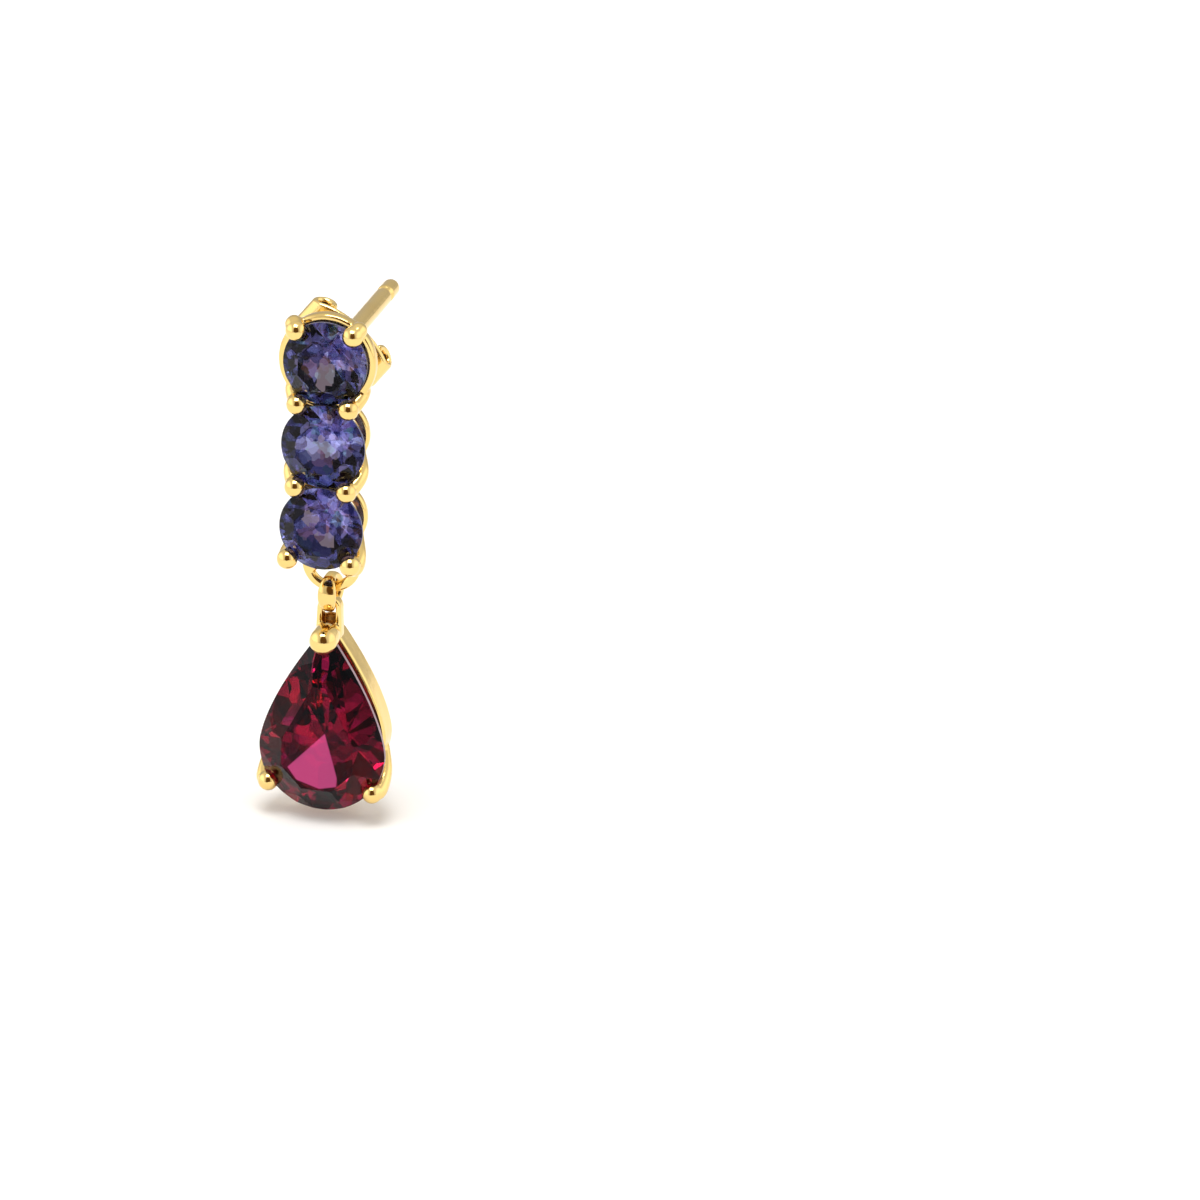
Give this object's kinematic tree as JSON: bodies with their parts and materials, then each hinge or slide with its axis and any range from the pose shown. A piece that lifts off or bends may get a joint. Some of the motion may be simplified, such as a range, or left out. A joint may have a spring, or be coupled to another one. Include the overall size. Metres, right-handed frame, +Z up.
{
  "type": "drop earring",
  "caption": "Gold drop earring: a straight bar of claw-set round blue-violet stones on an ear post, with a pear-shaped red stone swinging below on a link.",
  "frame": {"origin": "on the ear post's axis, where the post leaves the flat back of the bar, which is where the earring meets the ear lobe", "axes": "+Z up along the bar, -Y out of the stones' faces, +Y back along the ear post, +X to the viewer's right"},
  "size_m": [0.007, 0.0126, 0.0246],
  "materials": {
    "gold": "polished yellow gold",
    "violet_stone": "faceted blue-violet gemstone, polished",
    "raspberry_stone": "faceted raspberry-red gemstone, polished"
  },
  "bodies": {
    "bar": {"bar_setting": "gold", "round_stone_1": "violet_stone", "round_stone_2": "violet_stone", "round_stone_3": "violet_stone", "friction_nut": "gold"},
    "hanging_link": {"link": "gold"},
    "drop": {"pear_setting": "gold", "pear_stone": "raspberry_stone"}
  },
  "joints": [
    {"name": "link_swing", "type": "hinge", "parent": "bar", "child": "hanging_link", "pos_m": [0, -0.00027, -0.01147], "axis": [1, 0, 0], "range_deg": [-60, 60]},
    {"name": "drop_swing", "type": "hinge", "parent": "hanging_link", "child": "drop", "pos_m": [0, -0.00027, -0.01247], "axis": [0, 1, 0], "range_deg": [-60, 60]}
  ]
}
